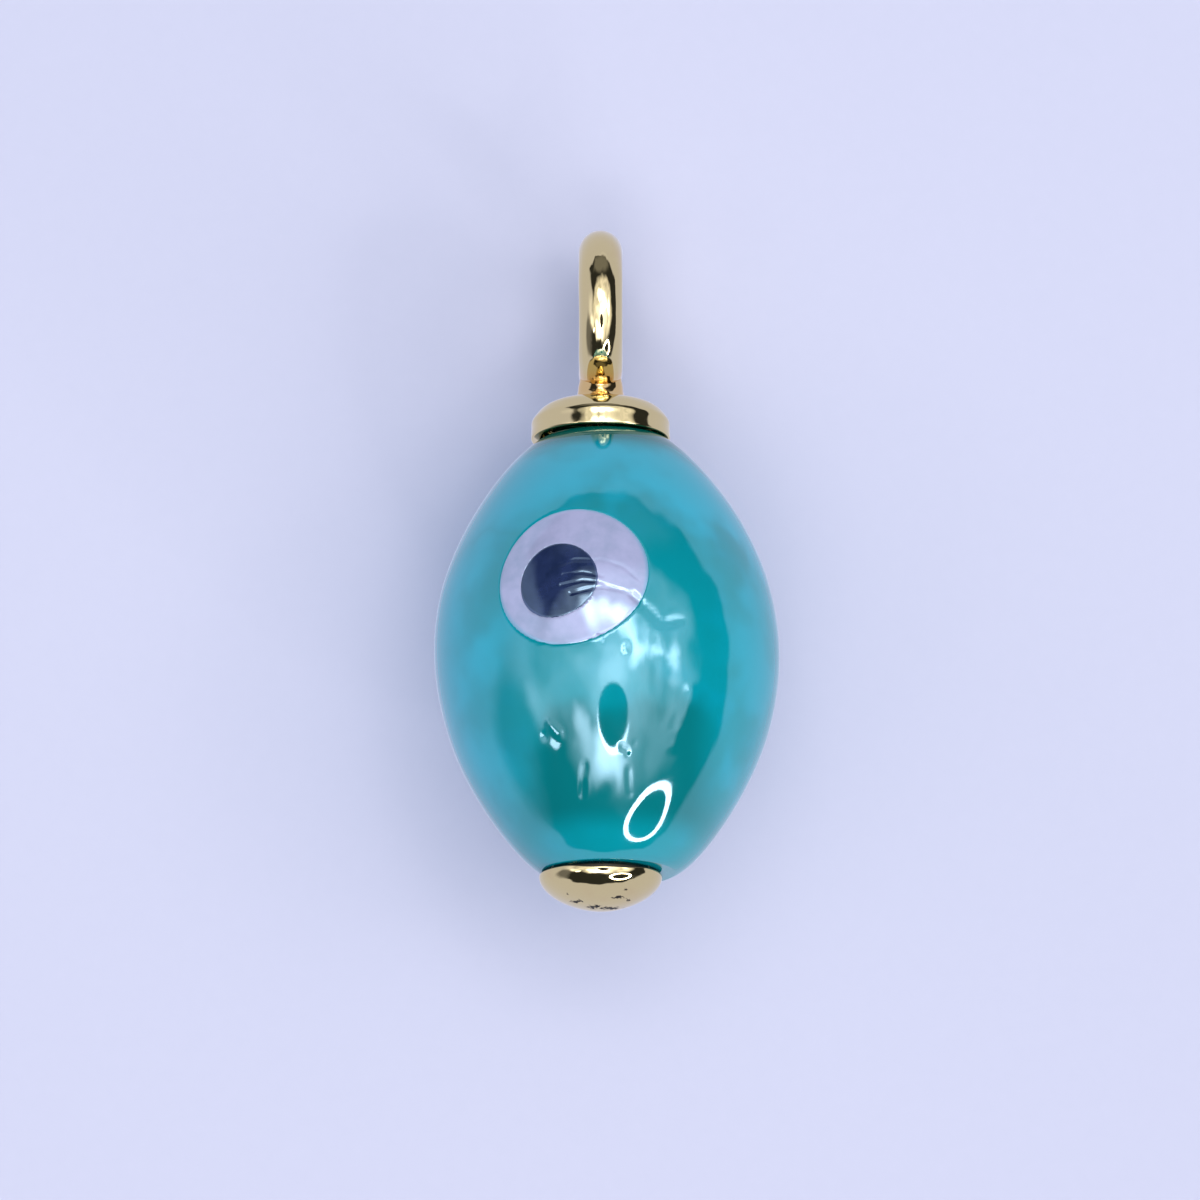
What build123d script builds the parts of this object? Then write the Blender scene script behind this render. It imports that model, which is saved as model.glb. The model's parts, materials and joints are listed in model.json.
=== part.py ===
from build123d import *
import os
from math import cos, radians, sin

# An evil eye pendant in its hanging pose: a wound glass bead turns on a pin that ties two
# domed caps together, and a closed ring, the bail, stands on the upper cap.
# Millimetres. +Z is up along the pin, the eye faces -Y, and the origin is the centre of the
# bail's hole, whose axis is X.

# Bail: a closed ring of round wire, its hole burnished to a short straight land
bail_outer_diameter = 5.84
bail_wire_diameter = 1.55
bail_bore_radius = 1.40

# Solder collar between the bail and the crown of the top cap
solder_gap = 0.29
collar_foot_radius = 1.20
collar_neck_radius = 0.79
collar_height = 0.91

# Caps: domed shells, each with its rim against one end of the bead
cap_wall = 0.30
top_cap_radius = 2.435
top_cap_height = 1.42
top_cap_fullness = 0.80
top_rim_round = 0.08
bottom_cap_radius = 2.13
bottom_cap_depth = 1.24
bottom_cap_fullness = 0.48
bottom_rim_round = 0.07
rim_to_rim = 15.50

# Pin through the bead, soldered in at its lower end
pin_radius = 0.50
pin_solder_radius = 1.30
pin_solder_height = 0.45

# Bead: lemon-shaped, wound a little off the pin's axis and leaning on it
bead_radius = 6.04
belly_above_bottom_rim = 7.87
bead_end_gap = 0.08
bead_end_radius = 2.15
bead_shoulder_handle = 0.25
bead_upper_handle = 4.60
bead_lower_handle = 4.25
bead_lower_shoulder_handle = 0.70
bead_bore_radius = 0.58
bead_offset = 0.22
bead_lean_deg = 1.25

# Eyes: a white dot let into the bead, and a dark pupil let into the white, off its centre
eye_white_width = 5.28
eye_white_height = 5.08
eye_pupil_diameter = 2.80
eye_white_floor = 4.90
eye_pupil_floor = 5.42

# Each eye's turn about Z from the -Y side, its height over the belly, and its pupil's shift
eyes = {
    "front": {"turn_deg": 12.5, "rise": 1.37, "pupil_shift": (-0.41, -0.18)},
    "back": {"turn_deg": 186, "rise": 1.20, "pupil_shift": (0.15, 0.10)},
}

# Heights worked out from the dimensions above
bail_ring_radius = (bail_outer_diameter - bail_wire_diameter) / 2
crown_z = -bail_outer_diameter / 2 - solder_gap
top_rim_z = crown_z - top_cap_height
bottom_rim_z = top_rim_z - rim_to_rim
belly_z = bottom_rim_z + belly_above_bottom_rim
bead_top_z = top_rim_z - bead_end_gap
bead_bottom_z = bottom_rim_z + bead_end_gap

# Lengths that only have to reach past what they cut
overreach = 1.0


def revolved(*outline):
    """Solid of revolution about Z from the edges of a closed outline in the XZ plane."""
    return revolve(make_face(outline), Axis.Z)


def dome_curve(radius, height, foot_z, fullness):
    """Half of a dome's outline, from its crown on the axis to its widest point at foot_z."""
    return Bezier(
        (0, 0, height),
        (fullness * radius, 0, height),
        (radius, 0, foot_z + fullness * (height - foot_z)),
        (radius, 0, foot_z),
    )


def dome_solid(radius, height, fullness, rim_round):
    """Filled dome on the plane z=0, its rim rounded where it meets that plane."""
    return revolved(
        dome_curve(radius, height, rim_round, fullness),
        TangentArc((radius, 0, rim_round), (radius - rim_round, 0, 0), tangent=(0, 0, -1)),
        Line((radius - rim_round, 0, 0), (0, 0, 0)),
        Line((0, 0, 0), (0, 0, height)),
    )


def dome_hollow(radius, height, fullness):
    """Space inside a domed cap of those outer sizes."""
    inner_radius = radius - cap_wall
    inner_height = height - cap_wall
    return revolved(
        dome_curve(inner_radius, inner_height, 0, fullness),
        Line((inner_radius, 0, 0), (0, 0, 0)),
        Line((0, 0, 0), (0, 0, inner_height)),
    )


def dome_shell(radius, height, fullness, rim_round):
    """Domed cap of even wall, open at the plane z=0."""
    return dome_solid(radius, height, fullness, rim_round) - dome_hollow(radius, height, fullness)


def pin_rod():
    """Full length of the pin's rod, overreaching both of its seats."""
    low = bottom_rim_z - bottom_cap_depth + cap_wall / 2
    high = -bail_ring_radius
    return Pos(0, 0, (low + high) / 2) * Cylinder(pin_radius, high - low)


def bail_ring():
    """Closed ring in the YZ plane."""
    wire = Torus(bail_ring_radius, bail_wire_diameter / 2)
    bore = Cylinder(bail_bore_radius, bail_wire_diameter + overreach)
    return Rot(0, 90, 0) * (wire - bore)


def top_cap():
    """Upper cap, with a hole in its crown for the pin."""
    shell = dome_shell(top_cap_radius, top_cap_height, top_cap_fullness, top_rim_round)
    return Pos(0, 0, top_rim_z) * shell - pin_rod()


def bail_collar():
    """Flared solder fillet that joins the ring to the crown of the top cap."""
    neck_z = crown_z + collar_height
    foot_z = crown_z - solder_gap / 2
    base_z = crown_z - cap_wall
    flare = Bezier(
        (collar_foot_radius, 0, foot_z),
        (collar_neck_radius, 0, foot_z + solder_gap / 2),
        (collar_neck_radius, 0, crown_z + solder_gap),
        (collar_neck_radius, 0, neck_z),
    )
    blank = revolved(
        Line((0, 0, base_z), (collar_foot_radius, 0, base_z)),
        Line((collar_foot_radius, 0, base_z), (collar_foot_radius, 0, foot_z)),
        flare,
        Line((collar_neck_radius, 0, neck_z), (0, 0, neck_z)),
        Line((0, 0, neck_z), (0, 0, base_z)),
    )
    crown = dome_solid(top_cap_radius, top_cap_height, top_cap_fullness, top_rim_round)
    return blank - Pos(0, 0, top_rim_z) * crown - pin_rod() - bail_ring()


def bottom_cap():
    """Lower cap: the dome hangs down from its rim."""
    shell = dome_shell(bottom_cap_radius, bottom_cap_depth, bottom_cap_fullness, bottom_rim_round)
    return Pos(0, 0, bottom_rim_z) * Rot(180, 0, 0) * shell


def center_pin():
    """Rod from the underside of the ring to the inside of the lower cap."""
    return pin_rod() - bail_ring() - bottom_cap()


def pin_solder():
    """Cone of solder round the foot of the pin, inside the lower cap."""
    base_z = bottom_rim_z - bottom_cap_depth
    tip_z = base_z + cap_wall + pin_solder_height
    cone = revolved(
        Line((0, 0, base_z), (pin_solder_radius, 0, base_z)),
        Line((pin_solder_radius, 0, base_z), (pin_radius, 0, tip_z)),
        Line((pin_radius, 0, tip_z), (0, 0, tip_z)),
        Line((0, 0, tip_z), (0, 0, base_z)),
    )
    hollow = dome_hollow(bottom_cap_radius, bottom_cap_depth, bottom_cap_fullness)
    return (cone & Pos(0, 0, bottom_rim_z) * Rot(180, 0, 0) * hollow) - pin_rod()


def bead_half_curve(length, belly_handle, shoulder_handle):
    """Outline from the belly, at z=0, to the edge of one end face at z=length."""
    side = 1 if length > 0 else -1
    return Bezier(
        (bead_radius, 0, 0),
        (bead_radius, 0, side * belly_handle),
        (bead_end_radius + shoulder_handle, 0, length),
        (bead_end_radius, 0, length),
    )


def bead_blank():
    """Bead with neither bore nor eyes: turned on its own leaning axis, ends square to the pin."""
    end_tilt = bead_end_radius * sin(radians(bead_lean_deg))
    up = bead_top_z - belly_z + end_tilt
    down = bead_bottom_z - belly_z - end_tilt
    turned = revolved(
        bead_half_curve(up, bead_upper_handle, bead_shoulder_handle),
        Line((bead_end_radius, 0, up), (0, 0, up)),
        Line((0, 0, up), (0, 0, down)),
        Line((0, 0, down), (bead_end_radius, 0, down)),
        bead_half_curve(down, bead_lower_handle, bead_lower_shoulder_handle),
    )
    placed = Pos(bead_offset, 0, belly_z) * Rot(0, -bead_lean_deg, 0) * turned
    width = 2 * (bead_radius + overreach)
    between_ends = Pos(0, 0, (bead_top_z + bead_bottom_z) / 2) * Box(
        width, width, bead_top_z - bead_bottom_z
    )
    return placed & between_ends


def eye_plane(eye, floor):
    """Plane at an eye's floor, facing straight out of the bead, its own Y pointing up."""
    turn = radians(eye["turn_deg"])
    outward = Vector(-sin(turn), -cos(turn), 0)
    centre = Vector(bead_offset, 0, belly_z + eye["rise"]) + outward * floor
    return Plane(origin=centre, x_dir=(cos(turn), -sin(turn), 0), z_dir=outward)


def eye_white_plug(eye):
    """Oval plug that cuts out the white dot."""
    outline = Ellipse(eye_white_width / 2, eye_white_height / 2)
    return extrude(eye_plane(eye, eye_white_floor) * outline, bead_radius)


def eye_pupil_plug(eye):
    """Round plug that cuts out the pupil."""
    outline = Pos(*eye["pupil_shift"]) * Circle(eye_pupil_diameter / 2)
    return extrude(eye_plane(eye, eye_pupil_floor) * outline, bead_radius)


def bead_body():
    """Glass bead with its bore and a pocket for each eye."""
    length = bead_top_z - bead_bottom_z
    bore = Pos(0, 0, (bead_top_z + bead_bottom_z) / 2) * Cylinder(bead_bore_radius, length + overreach)
    body = bead_blank() - bore
    for eye in eyes.values():
        body -= eye_white_plug(eye)
    return body


def eye_white(eye):
    """White dot, flush with the bead, with a pocket for its pupil."""
    return (bead_blank() & eye_white_plug(eye)) - eye_pupil_plug(eye)


def eye_pupil(eye):
    """Dark pupil, flush with the bead."""
    return bead_blank() & eye_pupil_plug(eye)


def build_nodes():
    """Every piece of the pendant by its node's name."""
    nodes = {
        "bail_ring": bail_ring(),
        "bail_collar": bail_collar(),
        "top_cap": top_cap(),
        "center_pin": center_pin(),
        "pin_solder": pin_solder(),
        "bottom_cap": bottom_cap(),
        "bead_body": bead_body(),
    }
    for side, eye in eyes.items():
        nodes["eye_white_" + side] = eye_white(eye)
        nodes["eye_pupil_" + side] = eye_pupil(eye)
    return nodes


os.makedirs("parts", exist_ok=True)
for name, solid in build_nodes().items():
    export_step(solid, os.path.join("parts", name + ".step"))
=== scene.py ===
"""Looks of the evil eye pendant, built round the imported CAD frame. Lengths are in millimetres
until a mesh is made, and the row frame is the CAD's: +Z up along the pin, the eye faces -Y, and
the origin is the centre of the bail's hole."""

import bisect
import json
import math

import bmesh
import bpy
from mathutils import Matrix, Vector, noise


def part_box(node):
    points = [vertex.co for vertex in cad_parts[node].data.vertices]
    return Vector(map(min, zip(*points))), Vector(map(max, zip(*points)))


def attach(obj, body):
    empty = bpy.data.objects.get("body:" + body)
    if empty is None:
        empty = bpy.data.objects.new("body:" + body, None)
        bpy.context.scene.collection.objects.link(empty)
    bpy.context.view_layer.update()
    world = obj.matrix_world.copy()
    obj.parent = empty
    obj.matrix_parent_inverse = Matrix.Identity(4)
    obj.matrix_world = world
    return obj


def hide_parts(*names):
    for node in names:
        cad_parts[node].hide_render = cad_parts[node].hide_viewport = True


MM = 0.001

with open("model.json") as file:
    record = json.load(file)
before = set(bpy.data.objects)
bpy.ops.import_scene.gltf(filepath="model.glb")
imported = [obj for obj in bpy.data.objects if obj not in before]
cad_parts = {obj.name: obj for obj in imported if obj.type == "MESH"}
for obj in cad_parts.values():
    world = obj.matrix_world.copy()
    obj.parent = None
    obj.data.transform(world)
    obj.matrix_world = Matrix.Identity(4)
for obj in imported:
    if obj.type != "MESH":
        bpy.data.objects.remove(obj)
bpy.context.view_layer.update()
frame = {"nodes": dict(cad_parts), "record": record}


# ---------------------------------------------------------------- sizes, from the frame

def node_box(node):
    """Lowest and highest corner of a CAD node, in millimetres."""
    low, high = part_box(node)
    return Vector(low) / MM, Vector(high) / MM


ring_low, ring_high = node_box("bail_ring")
top_cap_low, top_cap_high = node_box("top_cap")
bottom_cap_low, bottom_cap_high = node_box("bottom_cap")
bead_low, bead_high = node_box("bead_body")

# Sizes that the frame doesn't give are the CAD source's own
WIRE_RADIUS = (ring_high.x - ring_low.x) / 2
RING_RADIUS = (ring_high.z - ring_low.z) / 2 - WIRE_RADIUS
BORE_RADIUS = frame["record"]["mounts"][0]["dims"]["r_mm"]

SOLDER_GAP = 0.29
CAP_WALL = 0.30
CROWN_Z = ring_low.z - SOLDER_GAP
TOP_RIM_Z = top_cap_low.z
TOP_CAP_RADIUS = (top_cap_high.x - top_cap_low.x) / 2
TOP_CAP_FULLNESS = 0.80
TOP_RIM_ROUND = 0.08
BOTTOM_RIM_Z = bottom_cap_high.z
BOTTOM_CAP_DEPTH = bottom_cap_high.z - bottom_cap_low.z
BOTTOM_CAP_RADIUS = (bottom_cap_high.x - bottom_cap_low.x) / 2
BOTTOM_CAP_FULLNESS = 0.48
BOTTOM_RIM_ROUND = 0.07

COLLAR_FOOT_RADIUS = 1.20
COLLAR_NECK_RADIUS = 0.79
COLLAR_HEIGHT = 0.91
COLLAR_TAPER = 0.06

BEAD_RADIUS = 6.04
BELLY_Z = BOTTOM_RIM_Z + 7.87
BEAD_END_RADIUS = 2.15
BEAD_BORE_RADIUS = 0.58
UPPER_HANDLES = (4.60, 0.25)
LOWER_HANDLES = (4.25, 0.70)
BEAD_OFFSET = 0.22
BEAD_LEAN_DEG = 1.25

EYE_WHITE_HALF = (2.64, 2.54)
EYE_PUPIL_HALF = (1.39, 1.41)
EYE_DEPTH = 0.45
EYES = {
    "front": {"turn_deg": 12.5, "rise": 1.37, "pupil_shift": (-0.41, -0.18)},
    "back": {"turn_deg": 186, "rise": 1.20, "pupil_shift": (0.15, 0.10)},
}

# The photograph's view, from a little below: its tilt, the width that the frame takes in, and the
# place it looks at
VIEW_TILT_DEG = 14.0
FRAME_WIDTH = 41.7
LENS = 240.0
SENSOR = 36.0
AIM = Vector((-0.02, 0.0, -10.36))

tilt = math.radians(VIEW_TILT_DEG)
TO_CAMERA = Vector((0, -math.cos(tilt), -math.sin(tilt)))
SCREEN_UP = Vector((0, -math.sin(tilt), math.cos(tilt)))
SCREEN_RIGHT = Vector((1, 0, 0))


# ---------------------------------------------------------------- curves and meshes

def bezier(points, count):
    """count + 1 points along a cubic curve given by its four control points."""
    p0, p1, p2, p3 = (Vector(p) for p in points)
    out = []
    for i in range(count + 1):
        t = i / count
        s = 1 - t
        out.append(s * s * s * p0 + 3 * s * s * t * p1 + 3 * s * t * t * p2 + t * t * t * p3)
    return out


def smoothstep(x):
    """0 below 0, 1 above 1, and a smooth rise between."""
    x = min(1.0, max(0.0, x))
    return x * x * (3 - 2 * x)


# Edges that turn more than this stay sharp
SHARP_DEG = 50.0


def face_outward(mesh):
    """Turns every face of a closed mesh outward."""
    shell = bmesh.new()
    shell.from_mesh(mesh)
    bmesh.ops.recalc_face_normals(shell, faces=shell.faces)
    shell.to_mesh(mesh)
    shell.free()


def new_mesh(name, points, faces, closed=True):
    """Object from points in millimetres. A closed one is smooth but for its sharp edges."""
    mesh = bpy.data.meshes.new(name)
    mesh.from_pydata([Vector(p) * MM for p in points], [], faces)
    mesh.validate()
    if closed:
        face_outward(mesh)
        mesh.shade_smooth()
        mesh.set_sharp_from_angle(angle=math.radians(SHARP_DEG))
    mesh.update()
    obj = bpy.data.objects.new(name, mesh)
    bpy.context.collection.objects.link(obj)
    return obj


def loop_faces(rings, columns, first=0, closed_rings=True):
    """Quads over a grid of rings, each ring closed on itself, the rings closed if asked."""
    faces = []
    last = rings if closed_rings else rings - 1
    for i in range(last):
        a = first + i * columns
        b = first + ((i + 1) % rings) * columns
        for j in range(columns):
            k = (j + 1) % columns
            faces.append((a + j, a + k, b + k, b + j))
    return faces


def level_ring(radius, z, columns):
    """Points of a level circle about Z."""
    angles = [2 * math.pi * j / columns for j in range(columns)]
    return [Vector((radius * math.cos(a), radius * math.sin(a), z)) for a in angles]


def lathe(name, outline, columns):
    """Solid of revolution about Z from a closed outline of (radius, z), none of it on the axis."""
    points = []
    for r, z in outline:
        points += level_ring(r, z, columns)
    return new_mesh(name, points, loop_faces(len(outline), columns))


def dent(obj, size, depth, seed):
    """Moves the points in and out a little, mostly in, as hand polishing leaves them. size in mm."""
    offset = Vector((seed, -seed, 2 * seed))
    vertices = obj.data.vertices
    normals = [v.normal.copy() for v in vertices]
    for v, normal in zip(vertices, normals):
        v.co += normal * (depth * MM * (noise.noise(v.co / (size * MM) + offset) - 0.5))
    obj.data.update()


# ---------------------------------------------------------------- gold fittings

def dome_outline(radius, height, foot, fullness, count):
    """Points from the crown, on the axis, to the widest point at height foot."""
    return bezier(
        (
            (0, height),
            (fullness * radius, height),
            (radius, foot + fullness * (height - foot)),
            (radius, foot),
        ),
        count,
    )


def cap_outline(radius, height, fullness, rim_round, hole):
    """Closed outline of a domed shell that stands on z=0, with a small hole at its crown."""
    outer = dome_outline(radius, height, rim_round, fullness, 60)
    outer[0].x = hole
    corner = Vector((radius - rim_round, rim_round))
    rim = []
    for i in range(1, 11):
        a = math.radians(9 * i)
        rim.append(corner + rim_round * Vector((math.cos(a), -math.sin(a))))
    inner = dome_outline(radius - CAP_WALL, height - CAP_WALL, 0, fullness, 30)
    inner[0].x = hole
    return [tuple(p) for p in outer + rim + inner[::-1]]


# Depth of the file's facets along the ring's wire
RING_FACET = 0.006


def build_ring():
    """Closed round-wire ring in the YZ plane, its hole burnished to a short straight land, and
    the wire filed lengthwise into faint facets."""
    around, across = 288, 96
    points = []
    for i in range(around):
        a = 2 * math.pi * i / around
        radial = Vector((0, math.cos(a), math.sin(a)))
        for j in range(across):
            b = 2 * math.pi * j / across
            facet = Vector((5 * math.cos(b), 5 * math.sin(b), 2.5 * math.cos(a)))
            wire = WIRE_RADIUS - RING_FACET * (1 + noise.noise(facet))
            r = max(BORE_RADIUS, RING_RADIUS + wire * math.cos(b))
            points.append(radial * r + Vector((wire * math.sin(b), 0, 0)))
    ring = new_mesh("bail_ring_fine", points, loop_faces(around, across))
    dent(ring, size=1.1, depth=0.014, seed=3.0)
    return ring


def build_collar():
    """Flared fillet of solder under the ring, its top drawn in to run out on the wire."""
    neck_z = CROWN_Z + COLLAR_HEIGHT
    foot_z = CROWN_Z - SOLDER_GAP / 2
    flare = bezier(
        (
            (COLLAR_FOOT_RADIUS, foot_z),
            (COLLAR_NECK_RADIUS, foot_z + SOLDER_GAP / 2),
            (COLLAR_NECK_RADIUS, CROWN_Z + SOLDER_GAP),
            (COLLAR_NECK_RADIUS, neck_z),
        ),
        24,
    )
    for p in flare:
        p.x -= COLLAR_TAPER * smoothstep((p.y - CROWN_Z) / COLLAR_HEIGHT * 2 - 1)
    core = 0.1
    outline = [tuple(p) for p in flare]
    outline += [(core, neck_z), (core, foot_z)]
    collar = lathe("bail_collar_fine", outline, 128)
    dent(collar, size=0.6, depth=0.02, seed=5.0)
    return collar


# Radius of the hole at each cap's crown: the pin's, and a mere point
TOP_CAP_HOLE = 0.5
BOTTOM_CAP_HOLE = 0.002
CAP_COLUMNS = 288

# Fuller shoulder of the upper cap: its height over the rim, how far it swells, and its reach
SHOULDER_Z = 0.64
SHOULDER_SWELL = 0.045
SHOULDER_REACH = 0.17


def shouldered(r, z):
    """Point of the upper cap's outline, swollen a little where its side turns into its dome."""
    away = (z - SHOULDER_Z) / SHOULDER_REACH
    return r + SHOULDER_SWELL * math.exp(-away * away), z


def build_top_cap():
    """Upper cap, open at its crown for the pin."""
    height = CROWN_Z - TOP_RIM_Z
    outline = cap_outline(TOP_CAP_RADIUS, height, TOP_CAP_FULLNESS, TOP_RIM_ROUND, TOP_CAP_HOLE)
    outline = [shouldered(r, z) for r, z in outline]
    outline = [(r, TOP_RIM_Z + z) for r, z in outline]
    cap = lathe("top_cap_fine", outline, CAP_COLUMNS)
    dent(cap, size=1.4, depth=0.014, seed=7.0)
    return cap


def build_bottom_cap():
    """Lower cap, hanging down from its rim, its crown closed but for a point."""
    outline = cap_outline(
        BOTTOM_CAP_RADIUS, BOTTOM_CAP_DEPTH, BOTTOM_CAP_FULLNESS, BOTTOM_RIM_ROUND, BOTTOM_CAP_HOLE
    )
    outline = [(r, BOTTOM_RIM_Z - z) for r, z in reversed(outline)]
    cap = lathe("bottom_cap_fine", outline, CAP_COLUMNS)
    dent(cap, size=1.2, depth=0.010, seed=11.0)
    return cap


# ---------------------------------------------------------------- bead

END_TILT = BEAD_END_RADIUS * math.sin(math.radians(BEAD_LEAN_DEG))
BEAD_TOP = bead_high.z - BELLY_Z
BEAD_BOTTOM = bead_low.z - BELLY_Z
BEAD_PLACE = Matrix.Translation((BEAD_OFFSET, 0, BELLY_Z)) @ Matrix.Rotation(
    math.radians(-BEAD_LEAN_DEG), 4, "Y"
)
BEAD_UNPLACE = BEAD_PLACE.inverted()


def half_outline(length, handles, count):
    """Bead's outline from its belly to one end, on its own axis."""
    side = math.copysign(1, length)
    return bezier(
        (
            (BEAD_RADIUS, 0),
            (BEAD_RADIUS, side * handles[0]),
            (BEAD_END_RADIUS + handles[1], length),
            (BEAD_END_RADIUS, length),
        ),
        count,
    )


lower_outline = half_outline(BEAD_BOTTOM - END_TILT, LOWER_HANDLES, 96)
upper_outline = half_outline(BEAD_TOP + END_TILT, UPPER_HANDLES, 96)
BEAD_OUTLINE = lower_outline[::-1] + upper_outline[1:]
OUTLINE_HEIGHTS = [p.y for p in BEAD_OUTLINE]


def outline_radius(z):
    """Bead's radius at height z over its belly."""
    i = min(max(bisect.bisect(OUTLINE_HEIGHTS, z), 1), len(OUTLINE_HEIGHTS) - 1)
    a, b = BEAD_OUTLINE[i - 1], BEAD_OUTLINE[i]
    t = (z - a.y) / (b.y - a.y)
    return a.x + t * (b.x - a.x)


# Wound ripples: their mean, the size and height of the broad and of the fine ones, and the
# distance from an end over which they die out
RIPPLE_MEAN = -0.043
BROAD_SIZE = 4.2
BROAD_HEIGHT = 0.040
FINE_SIZE = 1.6
FINE_HEIGHT = 0.010
RIPPLE_FADE = 2.2

# Marks left on the glass by winding and pressing: the places a mark runs through on the front of
# the bead (x across, z over the belly), its half width, and its height, minus for a groove.
MARKS = (
    (((-1.10, 1.37),), 2.60, 0.065),
    (((-1.85, 1.70), (-1.05, 1.90), (-0.30, 1.84)), 0.11, -0.013),
    (((-1.45, 1.38), (-0.80, 1.42), (-0.15, 1.26)), 0.09, -0.010),
    (((-1.52, 1.00), (-0.80, 1.12), (-0.24, 1.05), (0.50, 0.74)), 0.10, -0.013),
    (((-1.20, 0.70), (-0.20, 0.88), (0.60, 0.72), (1.66, 0.02)), 0.13, -0.016),
    (((-0.20, 1.90), (0.60, 1.60), (1.13, 1.14), (1.66, 0.50)), 0.10, -0.010),
    (((0.90, 0.60), (1.45, 0.00), (1.85, -0.36), (2.58, -0.20)), 0.22, -0.028),
    (((1.62, -0.90), (1.56, -1.60), (1.62, -2.60)), 0.26, -0.010),
    (((2.32, -1.40),), 0.90, 0.028),
    (((2.90, -2.60), (2.50, -3.50), (2.10, -4.30)), 0.40, 0.026),
    (((-0.90, -5.00), (-0.98, -5.90)), 0.20, -0.022),
    (((0.62, -5.20), (0.66, -5.90)), 0.16, -0.016),
    (((-2.05, -3.60), (-1.75, -3.95)), 0.22, 0.030),
    (((-2.25, -3.95),), 0.18, -0.024),
    (((0.62, -1.28),), 0.19, -0.035),
    (((-0.33, -0.81),), 0.13, -0.024),
    (((-0.20, -0.95),), 0.12, -0.020),
    (((0.40, -4.48), (0.62, -4.60)), 0.12, -0.024),
    (((0.85, -4.35),), 0.11, -0.020),
)

# Share by which a long mark's height varies along it, and the size of that unevenness
MARK_UNEVEN = 0.9
MARK_GRAIN = 0.45


def off_run(x, z, run):
    """Distance from a place to a run of straight pieces, or to a single point."""
    place = Vector((x, z))
    if len(run) == 1:
        return (place - Vector(run[0])).length
    nearest = math.inf
    for start, end in zip(run, run[1:]):
        start, end = Vector(start), Vector(end)
        along = end - start
        t = min(1.0, max(0.0, (place - start).dot(along) / along.length_squared))
        nearest = min(nearest, (place - start - along * t).length)
    return nearest


def mark_reach(mark):
    """Lowest and highest x and z at which a mark is felt."""
    run, half, _ = mark
    xs, zs = zip(*run)
    return min(xs) - half, max(xs) + half, min(zs) - half, max(zs) + half


MARK_REACH = [mark_reach(mark) for mark in MARKS]


def mark_height(x, z, run, half, rise):
    """Height that one mark adds at a place."""
    off = min(1.0, off_run(x, z, run) / half)
    height = rise * (1 - off * off) ** 2
    if len(run) > 1:
        height *= 1 + MARK_UNEVEN * noise.noise(Vector((x, z, half)) / MARK_GRAIN)
    return height


def marked(x, z):
    """Height that all the marks add at a place on the front of the bead."""
    height = 0.0
    for (run, half, rise), (left, right, low, high) in zip(MARKS, MARK_REACH):
        if left < x < right and low < z < high:
            height += mark_height(x, z, run, half, rise)
    return height


def rippled(p):
    """Point of the turned bead moved to where hand winding leaves it."""
    broad = noise.noise(p / BROAD_SIZE + Vector((9.1, 2.3, 4.4)))
    fine = noise.noise(p / FINE_SIZE + Vector((1.7, 8.2, 3.9)))
    from_end = min(BEAD_TOP - p.z, p.z - BEAD_BOTTOM)
    height = RIPPLE_MEAN + BROAD_HEIGHT * broad + FINE_HEIGHT * fine
    if p.y < 0:
        height += marked(p.x, p.z)
    out = Vector((p.x, p.y, 0)).normalized()
    return p + out * (height * smoothstep(from_end / RIPPLE_FADE))


def eye_axes(eye):
    """The point on the bead's axis straight behind an eye, and the eye's across, up and outward
    directions."""
    turn = math.radians(eye["turn_deg"])
    outward = Vector((-math.sin(turn), -math.cos(turn), 0))
    across = Vector((math.cos(turn), -math.sin(turn), 0))
    centre = Vector((BEAD_OFFSET, 0, BELLY_Z + eye["rise"]))
    return centre, across, Vector((0, 0, 1)), outward


def dot_edge(angle, wobble):
    """Share of its nominal radius that a dot reaches at that angle."""
    return 1 + wobble * (math.sin(2 * angle + 0.6) + 0.6 * math.sin(3 * angle + 2.1)) - wobble


def share_of_dot(p, eye, half, shift, wobble):
    """How far out p lies in an eye's dot: 0 at its middle and 1 at its edge. None behind it."""
    centre, across, up, outward = eye_axes(eye)
    d = p - centre
    if d.dot(outward) < 0:
        return None
    u = (d.dot(across) - shift[0]) / half[0]
    v = (d.dot(up) - shift[1]) / half[1]
    return math.hypot(u, v) / dot_edge(math.atan2(v, u), wobble)


# How far a dot's edge strays from its oval, as a share of its size
WHITE_WOBBLE = 0.018
PUPIL_WOBBLE = 0.030

# Depth of the bed under a dot, and the share of the dot over which it slopes down
SUNK = 0.20
SINK_BAND = 0.10


def sink_under(share):
    """Depth by which a surface drops under a dot laid on it."""
    if share is None or share > 1:
        return 0.0
    return SUNK * smoothstep((1 - share) / SINK_BAND)


def bead_point(p):
    """Final place, in the row frame, of a point of the turned bead."""
    placed = BEAD_PLACE @ rippled(p)
    placed.z = min(max(placed.z, bead_low.z), bead_high.z)
    for eye in EYES.values():
        share = share_of_dot(placed, eye, EYE_WHITE_HALF, (0, 0), WHITE_WOBBLE)
        placed -= eye_axes(eye)[3] * sink_under(share)
    return placed


def build_bead():
    """Glass bead: its outside from the foot up, then down through the bore."""
    columns = 480
    points = []
    for r, z in BEAD_OUTLINE:
        points += [bead_point(p) for p in level_ring(r, z, columns)]
    for z in (bead_high.z, bead_low.z):
        points += level_ring(BEAD_BORE_RADIUS, z, columns)
    return new_mesh("bead_fine", points, loop_faces(len(BEAD_OUTLINE) + 2, columns))


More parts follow.
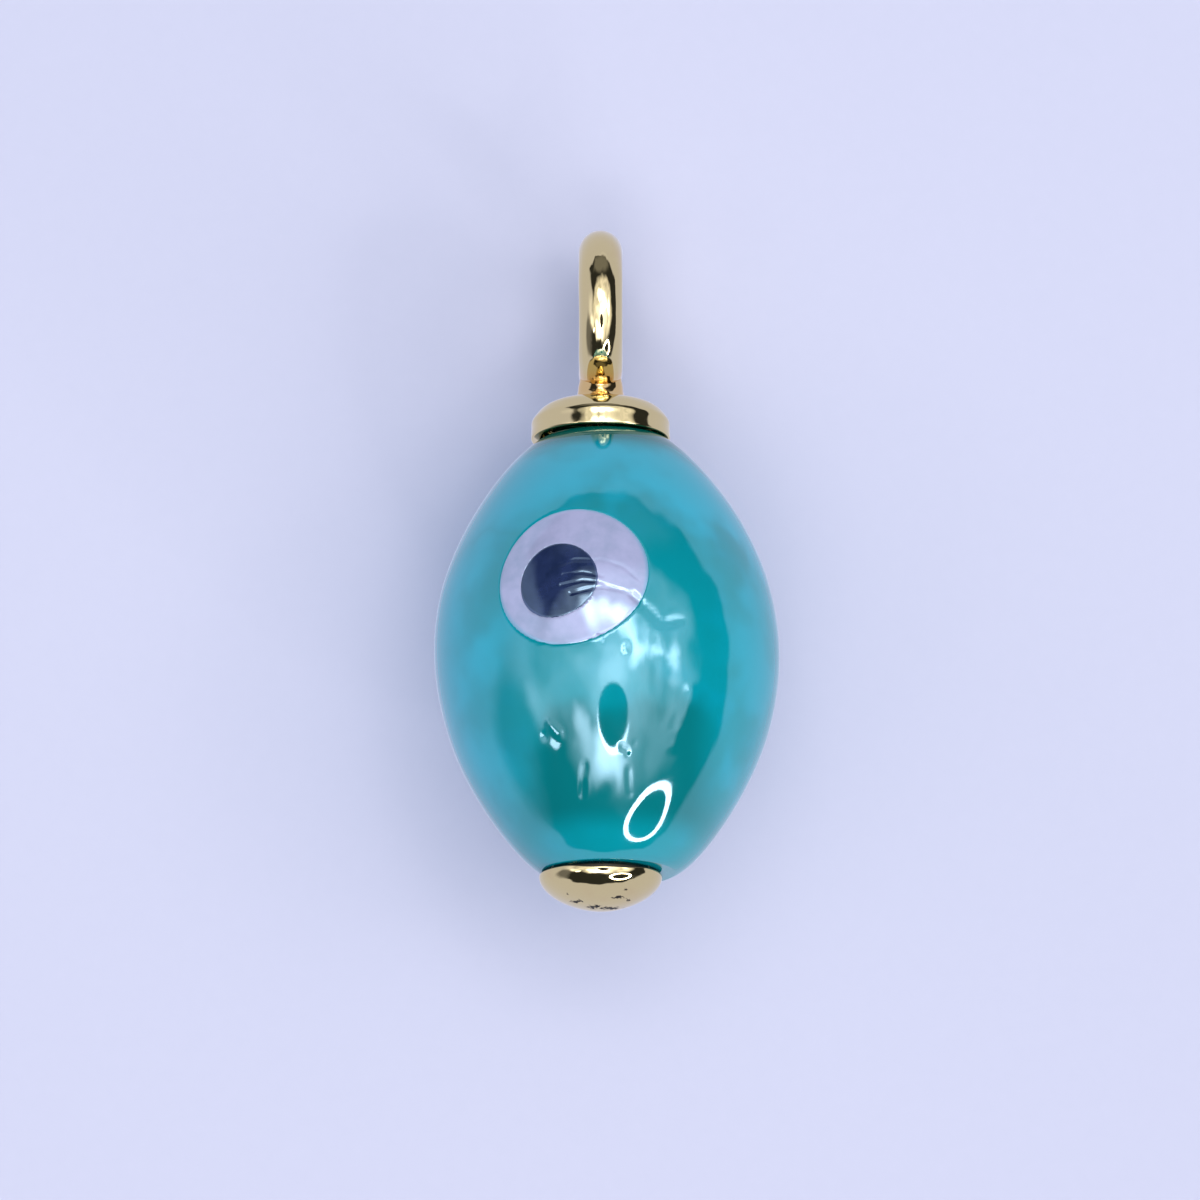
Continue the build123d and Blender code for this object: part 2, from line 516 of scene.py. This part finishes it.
def surface_under(eye, u, v):
    """Point of the turned bead, on its own axes, seen at (u, v) straight into an eye. It is found
    by halving the stretch that the surface lies in."""
    centre, across, up, outward = eye_axes(eye)
    start = centre + across * u + up * v
    inside, outside = 3.0, 9.0
    for _ in range(36):
        middle = (inside + outside) / 2
        p = BEAD_UNPLACE @ (start + outward * middle)
        if math.hypot(p.x, p.y) < outline_radius(p.z):
            inside = middle
        else:
            outside = middle
    return BEAD_UNPLACE @ (start + outward * inside)


# How proud a dot stands, the share of it that its melted edge takes, and how far that edge sinks
DOT_PROUD = 0.006
EDGE_ROUND = 0.055
EDGE_SUNK = 0.028


def edge_sink(share, proud):
    """How far a dot's rounded edge drops below its face, at a share of its radius."""
    edge = (share - 1 + EDGE_ROUND) / EDGE_ROUND
    return (proud + EDGE_SUNK) * (1 - math.sqrt(1 - min(1, max(0, edge)) ** 2))


def build_dot(name, eye, half, shift, wobble, proud, under=None):
    """Glass dot melted into the bead: its face follows the bead, and its back is flat. under is
    the half size, shift and wobble of a dot that is laid on this one in turn."""
    outward = eye_axes(eye)[3]
    columns, rings = 192, 60
    spokes = [(0.0, 0.0)]
    for i in range(1, rings + 1):
        share = math.sin(math.pi / 2 * i / rings)
        spokes += [(share, 2 * math.pi * j / columns) for j in range(columns)]
    points = []
    for share, a in spokes:
        reach = share * dot_edge(a, wobble)
        u = shift[0] + half[0] * reach * math.cos(a)
        v = shift[1] + half[1] * reach * math.sin(a)
        raised = outward * (proud - edge_sink(share, proud))
        p = BEAD_PLACE @ rippled(surface_under(eye, u, v)) + raised
        if under:
            p -= outward * sink_under(share_of_dot(p, eye, *under))
        points.append(p)
    faces = [(0, 1 + j, 1 + (j + 1) % columns) for j in range(columns)]
    faces += loop_faces(rings, columns, first=1, closed_rings=False)
    rim = 1 + (rings - 1) * columns
    back = len(points)
    for j in range(columns):
        points.append(points[rim + j] - outward * EYE_DEPTH)
    for j in range(columns):
        k = (j + 1) % columns
        faces.append((rim + j, rim + k, back + k, back + j))
    hub = len(points)
    points.append(sum((points[back + j] for j in range(columns)), Vector()) / columns)
    for j in range(columns):
        faces.append((back + j, back + (j + 1) % columns, hub))
    return new_mesh(name, points, faces)


# ---------------------------------------------------------------- node helpers

class Nodes:
    """Short way to add and link shader nodes."""

    def __init__(self, tree):
        self.tree = tree
        tree.nodes.clear()

    def add(self, kind, values=None, **settings):
        """New node, its settings made and its inputs given values or linked to sockets."""
        node = self.tree.nodes.new(kind)
        for key, value in settings.items():
            setattr(node, key, value)
        for key, value in (values or {}).items():
            if isinstance(value, bpy.types.NodeSocket):
                self.tree.links.new(value, node.inputs[key])
            else:
                node.inputs[key].default_value = value
        return node

    def link(self, source, target):
        self.tree.links.new(source, target)

    def place(self):
        """Position on the object itself, in metres."""
        return self.add("ShaderNodeTexCoord").outputs["Object"]

    def noise(self, vector, size, detail=2.0, rough=0.5, warp=0.0):
        """Noise with features about size mm across."""
        values = {
            "Vector": vector,
            "Scale": 1 / (size * MM),
            "Detail": detail,
            "Roughness": rough,
            "Distortion": warp,
        }
        return self.add("ShaderNodeTexNoise", values).outputs["Fac"]

    def ramp(self, fac, stops):
        """Colour read from stops of (position, colour)."""
        node = self.add("ShaderNodeValToRGB", {"Fac": fac})
        ramp = node.color_ramp
        while len(ramp.elements) < len(stops):
            ramp.elements.new(0.5)
        for element, (position, colour) in zip(ramp.elements, stops):
            element.position = position
            element.color = (*colour, 1)
        return node.outputs["Color"]

    def spread(self, fac, low, high, out_low=0.0, out_high=1.0):
        """Smooth step from out_low at low to out_high at high."""
        values = {"Value": fac, 1: low, 2: high, 3: out_low, 4: out_high}
        return self.add("ShaderNodeMapRange", values, interpolation_type="SMOOTHSTEP").outputs[0]

    def mix(self, fac, a, b, blend="MIX"):
        """Colour a blended with colour b by fac."""
        node = self.add("ShaderNodeMix", data_type="RGBA", blend_type=blend)
        for key, value in ((0, fac), (6, a), (7, b)):
            if isinstance(value, bpy.types.NodeSocket):
                self.tree.links.new(value, node.inputs[key])
            elif key == 0:
                node.inputs[key].default_value = value
            else:
                node.inputs[key].default_value = (*value, 1)
        return node.outputs[2]

    def math(self, operation, a, b=0.0):
        return self.add("ShaderNodeMath", {0: a, 1: b}, operation=operation).outputs[0]

    def vector(self, operation, a, b):
        return self.add("ShaderNodeVectorMath", {0: a, 1: b}, operation=operation).outputs["Vector"]

    def dot(self, a, b):
        return self.add("ShaderNodeVectorMath", {0: a, 1: b}, operation="DOT_PRODUCT").outputs["Value"]

    def scale(self, vector, factor):
        values = {0: vector, "Scale": factor}
        return self.add("ShaderNodeVectorMath", values, operation="SCALE").outputs["Vector"]

    def reach(self, x, y):
        """Length of (x, y)."""
        flat = self.add("ShaderNodeCombineXYZ", {0: x, 1: y}).outputs[0]
        return self.add("ShaderNodeVectorMath", {0: flat}, operation="LENGTH").outputs["Value"]

    def height(self, vector):
        return self.add("ShaderNodeSeparateXYZ", {0: vector}).outputs[2]


def material(name):
    """New material and the helper for its nodes."""
    made = bpy.data.materials.new(name)
    made.use_nodes = True
    return made, Nodes(made.node_tree)


def close(nodes, shader):
    """Ends a material's tree with its shader."""
    nodes.link(shader, nodes.add("ShaderNodeOutputMaterial").inputs["Surface"])


# ---------------------------------------------------------------- materials

# Gold plate where it is whole and worn thin, the painted reflection of gold in gold round the seam,
# and the dark of the patches and of the painted shade on the lower cap
GOLD = (0.765, 0.622, 0.308)
GOLD_WORN = (0.72, 0.52, 0.27)
GOLD_SEAM_REFLECTION = (0.82, 0.52, 0.20)
PATCH_AND_RIM_SHADE = (0.035, 0.03, 0.02)

# Middle of the soldered seam between the ring and the upper cap
SEAM = Vector((0, 0, CROWN_Z + 0.35))

# Dark patches on the front of the lower cap: x, height over its rim as seen in the photograph (minus,
# as the cap hangs down), and the patch's half width and half height
DARK_PATCHES = (
    (-0.82, -0.87, 0.17, 0.06),
    (-0.24, -1.07, 0.20, 0.07),
    (0.30, -1.12, 0.36, 0.05),
    (0.62, -0.72, 0.18, 0.05),
    (0.94, -0.82, 0.08, 0.05),
    (0.86, -0.44, 0.05, 0.04),
    (-1.15, -0.62, 0.07, 0.04),
)


def dark_patch_mask(n, where):
    """Ragged dark patches near the foot of the lower cap, on its front."""
    ragged = n.spread(n.noise(where, 0.11, 3.0, 0.6), 0.3, 0.7, -0.7, 0.7)
    rightward = n.dot(where, SCREEN_RIGHT)
    upward = n.dot(where, SCREEN_UP)
    blots = 0.0
    for x, rise, half_wide, half_high in DARK_PATCHES:
        middle = SCREEN_UP.z * BOTTOM_RIM_Z + rise
        across = n.math("DIVIDE", n.math("SUBTRACT", rightward, x * MM), half_wide * MM)
        up = n.math("DIVIDE", n.math("SUBTRACT", upward, middle * MM), half_high * MM)
        blot = n.spread(n.math("ADD", n.reach(across, up), ragged), 0.75, 1.0, 1.0, 0.0)
        blots = n.math("MAXIMUM", blots, blot)
    front = n.math("LESS_THAN", n.dot(where, (0, 1, 0)), 0.1 * MM)
    return n.math("MULTIPLY", blots, front)


def rim_shade_mask(n, where):
    """Painted shade: a dark band along the rim of the lower cap, where it meets the bead, broadest at
    the front.
    """
    x = n.math("ABSOLUTE", n.math("SUBTRACT", n.dot(where, SCREEN_RIGHT), 0.25 * MM))
    depth = n.spread(x, 0.5 * MM, 1.6 * MM, 0.17 * MM, 0.06 * MM)
    below_rim = n.math("SUBTRACT", BOTTOM_RIM_Z * MM, n.height(where))
    over = n.math("SUBTRACT", depth, below_rim)
    below_bead = n.math("LESS_THAN", n.height(where), (BOTTOM_RIM_Z + 0.1) * MM)
    return n.math("MULTIPLY", n.spread(over, 0.0, 0.03 * MM), below_bead)


def gold_material():
    """Polished pale gold plate with faint wear and hairlines, dark patches and painted rim shade on
    the lower cap, and a painted warm reflection of gold in gold round the soldered seam.
    """
    made, n = material("polished_gold_plate")
    where = n.place()
    cloud = n.noise(where, 1.6, 3.0)
    colour = n.mix(n.spread(cloud, 0.52, 0.75, 0, 0.45), GOLD, GOLD_WORN)
    # painted reflection: warm orange of gold mirrored in gold round the soldered seam
    seam = n.add("ShaderNodeVectorMath", {0: where, 1: SEAM * MM}, operation="DISTANCE")
    colour = n.mix(n.spread(seam.outputs["Value"], 0.7 * MM, 1.5 * MM, 0.75, 0.0), colour, GOLD_SEAM_REFLECTION)
    # dark patches on the lower cap's front, and painted shade along its rim
    patches_and_rim_shade = n.math("MAXIMUM", dark_patch_mask(n, where), rim_shade_mask(n, where))
    colour = n.mix(patches_and_rim_shade, colour, PATCH_AND_RIM_SHADE)
    smear = n.noise(where, 0.35, 4.0, 0.6, 0.8)
    rough = n.math("ADD", n.spread(smear, 0.35, 0.8, 0.03, 0.10), n.math("MULTIPLY", patches_and_rim_shade, 0.5))
    hairline = n.noise(where, 0.06, 2.0)
    bump = n.add("ShaderNodeBump", {"Height": hairline, "Strength": 0.012, "Distance": 0.02 * MM})
    shader = n.add(
        "ShaderNodeBsdfPrincipled",
        {"Base Color": colour, "Metallic": 1.0, "Roughness": rough, "Normal": bump.outputs[0]},
    )
    close(n, shader.outputs[0])
    return made


# Glasses: stops of (position, colour) that their streaks run through, then the darker teal low on
# the bead, the paler teal of painted light, the painted shade under the upper cap, and the edges of
# the dots
TEAL_GLASS = ((0.36, (0.0, 0.190, 0.198)), (0.50, (0.0, 0.200, 0.216)), (0.66, (0.0, 0.212, 0.250)))
WHITE_GLASS = ((0.38, (0.235, 0.265, 0.350)), (0.62, (0.330, 0.335, 0.450)))
NAVY_GLASS = ((0.38, (0.007, 0.014, 0.042)), (0.62, (0.016, 0.027, 0.074)))
LOW_DARK_TEAL = (0.0, 0.120, 0.118)
LIT_SIDE_TEAL = (0.0, 0.335, 0.420)
UNDER_CAP_SHADE = (0.0, 0.095, 0.072)
WHITE_EDGE = (0.13, 0.29, 0.38)
NAVY_EDGE = (0.05, 0.07, 0.14)

# Index of refraction and tint of the reflections from the lustre film
LUSTRE_IOR = 1.98
LUSTRE_TINT = (0.66, 0.93, 1.0)


def under_cap_shade_mask(n, where):
    """Painted shade and reflection: a dark green, narrow soft band on the bead under the upper cap."""
    waver = n.spread(n.noise(where, 3.0), 0.3, 0.7, -0.04 * MM, 0.04 * MM)
    z = n.math("ADD", n.height(where), waver)
    return n.spread(z, (bead_high.z - 1.00) * MM, (bead_high.z - 0.32) * MM)


def lit_side_mask(n, where):
    """Painted light: paler teal down the left side, faintly down the right, and in a belt round the
    upper part, where the bead turns from the lamps.
    """
    waver = n.spread(n.noise(where, 2.4), 0.3, 0.7, -0.7 * MM, 0.7 * MM)
    x = n.math("ADD", n.dot(where, (1, 0, 0)), waver)
    z = n.math("ADD", n.height(where), waver)
    left = n.spread(x, -5.4 * MM, -2.6 * MM, 0.9, 0.0)
    right = n.spread(x, 4.2 * MM, 5.8 * MM, 0.0, 0.38)
    bowed = n.math("ADD", z, n.math("MULTIPLY", n.math("ABSOLUTE", x), 0.45))
    belt = n.spread(bowed, (BELLY_Z + 4.0) * MM, (BELLY_Z + 6.0) * MM, 0.0, 0.75)
    near_cap = n.spread(z, (BELLY_Z + 5.6) * MM, (BELLY_Z + 6.6) * MM, 1.0, 0.4)
    top = n.math("MULTIPLY", belt, near_cap)
    return n.math("MAXIMUM", n.math("MAXIMUM", left, right), top)


def dot_fade(n, where, eye, half, shift):
    """Rises to 1 at the very edge of a dot, where the glass under it shows through."""
    centre, across, up, _ = eye_axes(eye)
    off = n.vector("SUBTRACT", where, centre * MM)
    u = n.math("SUBTRACT", n.dot(off, across / (half[0] * MM)), shift[0] / half[0])
    v = n.math("SUBTRACT", n.dot(off, up / (half[1] * MM)), shift[1] / half[1])
    return n.spread(n.reach(u, v), 0.93, 1.0)


def low_dark_mask(n, where):
    """Darker teal low on the bead, in the middle of its front and back."""
    waver = n.spread(n.noise(where, 3.0), 0.3, 0.7, -1.5 * MM, 1.5 * MM)
    z = n.math("ADD", n.height(where), waver)
    low = n.spread(z, (BELLY_Z - 4.9) * MM, (BELLY_Z - 2.3) * MM, 1.0, 0.0)
    above_foot = n.spread(n.height(where), (BELLY_Z - 7.2) * MM, (BELLY_Z - 6.2) * MM)
    x = n.math("SUBTRACT", n.dot(where, (1, 0, 0)), 0.7 * MM)
    middle = n.spread(n.math("ABSOLUTE", x), 2.2 * MM, 3.8 * MM, 1.0, 0.0)
    return n.math("MULTIPLY", n.math("MULTIPLY", low, above_foot), middle)


def teal_colour(n, where, colour):
    """Teal that darkens low on the bead, is paler at its sides and top with painted light, and dark
    under the cap with painted shade.
    """
    colour = n.mix(low_dark_mask(n, where), colour, LOW_DARK_TEAL)
    # painted light: paler teal down the sides and round the upper part
    colour = n.mix(lit_side_mask(n, where), colour, LIT_SIDE_TEAL)
    # painted shade and reflection: dark green band under the upper cap
    return n.mix(under_cap_shade_mask(n, where), colour, UNDER_CAP_SHADE)


def glass_material(name, colours, streak, finish):
    """Opaque lampwork glass under a pearly lustre. colours run over soft wound streaks, and
    finish(nodes, place, colour) gives the colour its last touch."""
    made, n = material(name)
    where = n.place()
    drift = n.noise(where, streak, 3.0, 0.5, 0.6)
    cloud = n.noise(where, streak / 5, 4.0, 0.55)
    drift = n.math("ADD", n.math("MULTIPLY", drift, 0.65), n.math("MULTIPLY", cloud, 0.35))
    colour = n.ramp(drift, colours)
    colour = finish(n, where, colour)
    film = n.noise(where, 1.1, 2.0)
    rough = n.spread(film, 0.3, 0.8, 0.03, 0.09)
    pits = n.noise(where, 0.09, 1.0)
    bump = n.add("ShaderNodeBump", {"Height": pits, "Strength": 0.01, "Distance": 0.02 * MM})
    shader = n.add(
        "ShaderNodeBsdfPrincipled",
        {
            "Base Color": colour,
            "Roughness": rough,
            "Normal": bump.outputs[0],
            "IOR": LUSTRE_IOR,
            "Specular Tint": (*LUSTRE_TINT, 1),
        },
    )
    close(n, shader.outputs[0])
    return made


def wire_material():
    """Drawn brass of the pin, with lengthwise scratches."""
    made, n = material("drawn_brass")
    stretched = n.add("ShaderNodeMapping", {"Vector": n.place(), "Scale": (1, 1, 0.05)}).outputs[0]
    line = n.noise(stretched, 0.08, 2.0)
    colour = n.mix(line, (0.70, 0.52, 0.26), (0.80, 0.64, 0.36))
    shader = n.add(
        "ShaderNodeBsdfPrincipled",
        {"Base Color": colour, "Metallic": 1.0, "Roughness": n.spread(line, 0.2, 0.8, 0.2, 0.4)},
    )
    close(n, shader.outputs[0])
    return made


def solder_material():
    """Dull, slightly lumpy solder."""
    made, n = material("dull_solder")
    lump = n.noise(n.place(), 0.2, 3.0)
    colour = n.mix(lump, (0.50, 0.49, 0.46), (0.68, 0.67, 0.64))
    bump = n.add("ShaderNodeBump", {"Height": lump, "Strength": 0.3, "Distance": 0.05 * MM})
    shader = n.add(
        "ShaderNodeBsdfPrincipled",
        {"Base Color": colour, "Metallic": 1.0, "Roughness": 0.42, "Normal": bump.outputs[0]},
    )
    close(n, shader.outputs[0])
    return made


def dot_finish(eye, half, shift, edge):
    """Last touch for a dot's glass: its edge colour."""
    def finish(n, where, colour):
        return n.mix(dot_fade(n, where, eye, half, shift), colour, edge)
    return finish


def teal_glass():
    """Glass of the bead."""
    return glass_material("teal_lustre_glass", TEAL_GLASS, 6.0, teal_colour)


def white_glass(side):
    """Glass of one white dot."""
    finish = dot_finish(EYES[side], EYE_WHITE_HALF, (0, 0), WHITE_EDGE)
    return glass_material("white_lustre_glass_" + side, WHITE_GLASS, 2.4, finish)


def navy_glass(side):
    """Glass of one pupil."""
    finish = dot_finish(EYES[side], EYE_PUPIL_HALF, EYES[side]["pupil_shift"], NAVY_EDGE)
    return glass_material("navy_lustre_glass_" + side, NAVY_GLASS, 1.4, finish)


# ---------------------------------------------------------------- pieces

def settle(obj, node, body, look):
    """Puts one finished piece in the place of its CAD node."""
    obj.data.materials.append(look)
    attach(obj, body)
    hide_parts(node)


gold = gold_material()
for node, build in (
    ("bail_ring", build_ring),
    ("bail_collar", build_collar),
    ("top_cap", build_top_cap),
    ("bottom_cap", build_bottom_cap),
):
    settle(build(), node, "fittings", gold)
settle(build_bead(), "bead_body", "bead", teal_glass())
for side, eye in EYES.items():
    shift = eye["pupil_shift"]
    pupil_bed = (EYE_PUPIL_HALF, shift, PUPIL_WOBBLE)
    white = build_dot(
        "eye_white_fine_" + side, eye, EYE_WHITE_HALF, (0, 0), WHITE_WOBBLE, DOT_PROUD, pupil_bed
    )
    pupil = build_dot(
        "eye_pupil_fine_" + side, eye, EYE_PUPIL_HALF, shift, PUPIL_WOBBLE, 2 * DOT_PROUD
    )
    settle(white, "eye_white_" + side, "bead", white_glass(side))
    settle(pupil, "eye_pupil_" + side, "bead", navy_glass(side))

# The pin and its solder, hidden inside, keep the CAD's own meshes
for node, look in (("center_pin", wire_material()), ("pin_solder", solder_material())):
    frame["nodes"][node].data.materials.clear()
    frame["nodes"][node].data.materials.append(look)


# ---------------------------------------------------------------- studio

# The paper as it looks when lit, its own colour, the share of its look that is glow, how far it
# lies behind the pin, and half its width
PAPER = (0.66, 0.69, 0.92)
PAPER_GLAZE = (0.398, 0.404, 0.455)
PAPER_GLOW = (0.09, 0.16, 0.26)
PAPER_DISTANCE = 3.6
PAPER_HALF = 400.0

# Colour of the lamps' light, and of the dark room
LAMPLIGHT = (0.92, 0.94, 1.10)
ROOM = (0.030, 0.033, 0.038)


def paper_material():
    """Pale lilac paper, glowing a little so that the shadows on it stay blue. It is clear from
    behind, so that it hides nothing there, and clear edge-on, so that it draws no line across a
    view from the side."""
    made, n = material("lilac_paper")
    grain = n.noise(n.place(), 0.5, 4.0)
    colour = n.mix(grain, [c * 0.985 for c in PAPER_GLAZE], [c * 1.015 for c in PAPER_GLAZE])
    lit = n.mix(1.0, colour, [1.0 - c for c in PAPER_GLOW], "MULTIPLY")
    diffuse = n.add("ShaderNodeBsdfDiffuse", {"Color": lit}).outputs[0]
    glow = n.mix(1.0, PAPER, PAPER_GLOW, "MULTIPLY")
    glow = n.add("ShaderNodeEmission", {"Color": glow}).outputs[0]
    face = n.add("ShaderNodeAddShader", {0: diffuse, 1: glow}).outputs[0]
    gone = n.add("ShaderNodeBsdfTransparent").outputs[0]
    back = n.add("ShaderNodeNewGeometry").outputs["Backfacing"]
    edge_on = n.spread(n.add("ShaderNodeLayerWeight", {"Blend": 0.5}).outputs["Facing"], 0.78, 0.92)
    hidden = n.math("MAXIMUM", back, edge_on)
    close(n, n.add("ShaderNodeMixShader", {0: hidden, 1: face, 2: gone}).outputs[0])
    return made


def build_paper():
    """Sheet of paper that the pendant lies on, which the camera alone sees."""
    centre = AIM - TO_CAMERA * (AIM.dot(TO_CAMERA) + PAPER_DISTANCE)
    corners = []
    for x, y in ((-1, -1), (1, -1), (1, 1), (-1, 1)):
        corners.append(centre + (SCREEN_RIGHT * x + SCREEN_UP * y) * PAPER_HALF)
    paper = new_mesh("paper", corners, [(0, 1, 2, 3)], closed=False)
    paper.data.materials.append(paper_material())
    for ray in ("diffuse", "glossy", "transmission", "volume_scatter", "shadow"):
        setattr(paper, "visible_" + ray, False)


def studio_direction(off_deg, round_deg):
    """Direction off_deg away from the photograph's camera, round_deg counted from screen right."""
    off, turn = math.radians(off_deg), math.radians(round_deg)
    across = SCREEN_RIGHT * math.cos(turn) + SCREEN_UP * math.sin(turn)
    return TO_CAMERA * math.cos(off) + across * math.sin(off)


def patch(n, way, off, turn, half, squash=1.0, roll=0.0, soft=0.2):
    """Oval patch of the surroundings, 1 inside and falling to 0 at its edge: its middle's place
    round the camera, its half width in degrees, its height as a share of its width, its roll,
    and the soft share of its edge."""
    out = studio_direction(off, turn)
    spin = Matrix.Rotation(math.radians(roll), 3, out)
    across = spin @ SCREEN_UP.cross(out).normalized()
    up = out.cross(across)
    width = math.tan(math.radians(half))
    ahead = n.dot(way, out)
    in_front = n.math("GREATER_THAN", ahead, 0.01)
    x = n.math("DIVIDE", n.dot(way, across / width), ahead)
    y = n.math("DIVIDE", n.dot(way, up / (width * squash)), ahead)
    return n.math("MULTIPLY", in_front, n.spread(n.reach(x, y), 1 - soft, 1.0, 1.0, 0.0))


def wavering(n, way):
    """Directions pushed about a little, for reflections with uneven edges."""
    stir = n.add("ShaderNodeTexNoise", {"Vector": way, "Scale": 3.0, "Detail": 2.0}).outputs["Color"]
    push = n.scale(n.vector("SUBTRACT", stir, (0.5, 0.5, 0.5)), 0.30)
    return n.vector("ADD", way, push)


def less(n, whole, inside):
    """What is left of one patch outside another."""
    return n.math("MAXIMUM", n.math("SUBTRACT", whole, inside), 0.0)


# Soft lamps that show in the tent: strength, degrees away from the camera, turn round it from
# screen right, half width in degrees, height as a share of width, and the soft share of the edge
LAMPS = (
    (0.45, 52, 175, 26, 1.0, 0.95),
    (0.20, 74, 88, 40, 0.45, 0.6),
    (1.5, 48, 196, 14, 1.0, 0.9),
    (0.5, 48, -12, 13, 1.0, 0.9),
    (1.3, 8, 10, 33, 1.0, 0.6),
    (7.0, 27, 112, 10, 1.0, 0.9),
    (7.0, 28, 85, 10, 1.0, 0.8),
    (8.0, 26, 58, 10, 1.0, 0.8),
    (8.0, 23, 29, 10, 1.0, 0.8),
    (5.0, 34, 24, 9, 1.0, 0.9),
    (2.6, 6, 40, 14, 1.0, 0.9),
    (8.5, 29, -92, 22, 0.6, 0.9),
    (4.0, 28, -135, 9, 1.0, 0.9),
    (6.0, 46.5, 9, 12, 1.0, 0.95),
    (7.0, 46.5, -150, 6, 0.5, 0.4),
)

# Strength of the bright crescent beside the lens and of the ring lamp, and that ring's inner size
# as a share of its outer
CRESCENT_STRENGTH = 12.0
RING_STRENGTH = 22.0
RING_SHARE = 0.80


def tent_light(n, uneven):
    """Strength of a folded white tent round the camera, with the soft lamps that show in it."""
    fold = n.add("ShaderNodeTexNoise", {"Vector": uneven, "Scale": 3.0, "Detail": 3.0}).outputs["Fac"]
    tent = patch(n, uneven, 12, 25, 58, 0.80, soft=0.35)
    total = n.math("MULTIPLY", tent, n.spread(fold, 0.3, 0.7, 0.75, 1.45))
    for strength, off, turn, half, squash, soft in LAMPS:
        lamp = patch(n, uneven, off, turn, half, squash, soft=soft)
        total = n.math("ADD", total, n.math("MULTIPLY", lamp, strength))
    return total


def lights(n, way, uneven):
    """Light of the lamps: the tent, the dark hole in it for the camera's lens with a bright
    crescent beside it, and a ring lamp lower right."""
    crescent = less(n, patch(n, way, 16, -76, 12, soft=0.1), patch(n, way, 13.5, -70, 12, soft=0.1))
    total = n.math("ADD", tent_light(n, uneven), n.math("MULTIPLY", crescent, CRESCENT_STRENGTH))
    lens = patch(n, way, 14.5, -76, 11.2, soft=0.12)
    total = n.math("MULTIPLY", total, n.math("SUBTRACT", 1.0, lens))
    whole = patch(n, way, 62, -57, 18, squash=0.74, roll=35, soft=0.05)
    hollow = patch(n, way, 62, -57, 18 * RING_SHARE, squash=0.74, roll=35, soft=0.05)
    ring = n.math("MULTIPLY", less(n, whole, hollow), RING_STRENGTH)
    bright = n.math("ADD", total, ring)
    return n.scale(LAMPLIGHT, bright)


def paper_around(n, uneven):
    """Where the bent paper shows, 1, and where its open front does, 0, less painted shade at the lower
    left."""
    opening = n.spread(n.dot(uneven, SCREEN_RIGHT), -0.80, -0.68)
    for edge in (studio_direction(8, 0), studio_direction(-2, 90), studio_direction(10, 90)):
        opening = n.math("MULTIPLY", opening, n.spread(n.dot(uneven, edge), -0.03, 0.03))
    sheet = n.math("SUBTRACT", 1.0, opening)
    shade = patch(n, uneven, 70, 206, 27, 1.1, soft=0.55)
    return n.math("MULTIPLY", sheet, n.math("SUBTRACT", 1.0, n.math("MULTIPLY", shade, 0.75)))


def build_world():
    """Pale lilac for the camera. For all else, a dark room with lamps in it, seen through the open
    front of the bent paper."""
    world = bpy.data.worlds.new("studio")
    bpy.context.scene.world = world
    world.use_nodes = True
    n = Nodes(world.node_tree)
    way = n.add("ShaderNodeTexCoord").outputs["Generated"]
    uneven = wavering(n, way)
    around = n.mix(paper_around(n, uneven), ROOM, PAPER)
    around = n.mix(1.0, around, lights(n, way, uneven), "ADD")
    ray = n.add("ShaderNodeLightPath").outputs["Is Camera Ray"]
    colour = n.mix(ray, around, PAPER)
    back = n.add("ShaderNodeBackground", {"Color": colour, "Strength": 1.0})
    n.link(back.outputs[0], n.add("ShaderNodeOutputWorld").inputs["Surface"])


def build_camera():
    """Long lens, level with the front and a little below the middle, as in the photograph."""
    data = bpy.data.cameras.new("camera")
    data.lens = LENS
    data.sensor_width = SENSOR
    camera = bpy.data.objects.new("camera", data)
    bpy.context.collection.objects.link(camera)
    distance = FRAME_WIDTH * LENS / SENSOR
    camera.location = (AIM + TO_CAMERA * distance) * MM
    camera.rotation_mode = "QUATERNION"
    camera.rotation_quaternion = (-TO_CAMERA).to_track_quat("-Z", "Y")
    data.clip_start = MM
    data.clip_end = 2.0
    bpy.context.scene.camera = camera


build_paper()
build_world()
build_camera()
bpy.context.scene.view_settings.view_transform = "Standard"
